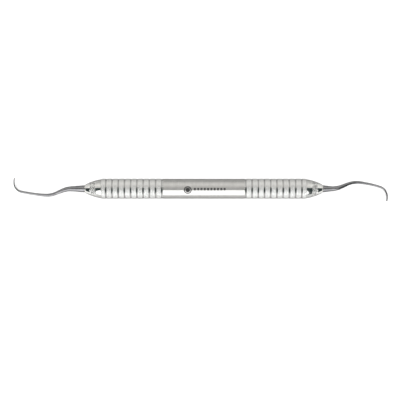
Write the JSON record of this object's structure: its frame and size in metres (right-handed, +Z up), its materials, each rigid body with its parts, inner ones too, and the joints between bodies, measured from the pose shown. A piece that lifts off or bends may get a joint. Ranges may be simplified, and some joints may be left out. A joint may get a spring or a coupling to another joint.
{
  "type": "hand scaler",
  "caption": "Double-ended dental hand scaler: hollow round steel handle with ringed knurled grips, turned noses, bent tapered shanks and small curved half-round blades.",
  "frame": {"origin": "on the surface that the instrument lies on, under the middle of the handle", "axes": "+X along the handle towards the right-hand tip, +Y in the plane of the main bends, towards the side that the right-hand shank bows to, +Z up"},
  "size_m": [0.1783, 0.0111, 0.0095],
  "materials": {
    "satin_steel": "satin, fine marks running round the barrel",
    "knurled_steel": "bright diamond knurl on the lands, turned groove floors",
    "turned_steel": "fine turned, near polished",
    "silver_solder": "smooth, slightly warm",
    "hardened_steel": "hand polished, ground at the blade"
  },
  "bodies": {
    "root": {"centre_barrel": "satin_steel", "left_grip": "knurled_steel", "right_grip": "knurled_steel", "left_nose_cone": "turned_steel", "right_nose_cone": "turned_steel", "left_solder_ring": "silver_solder", "right_solder_ring": "silver_solder", "left_tip": "hardened_steel", "right_tip": "hardened_steel"}
  },
  "joints": []
}
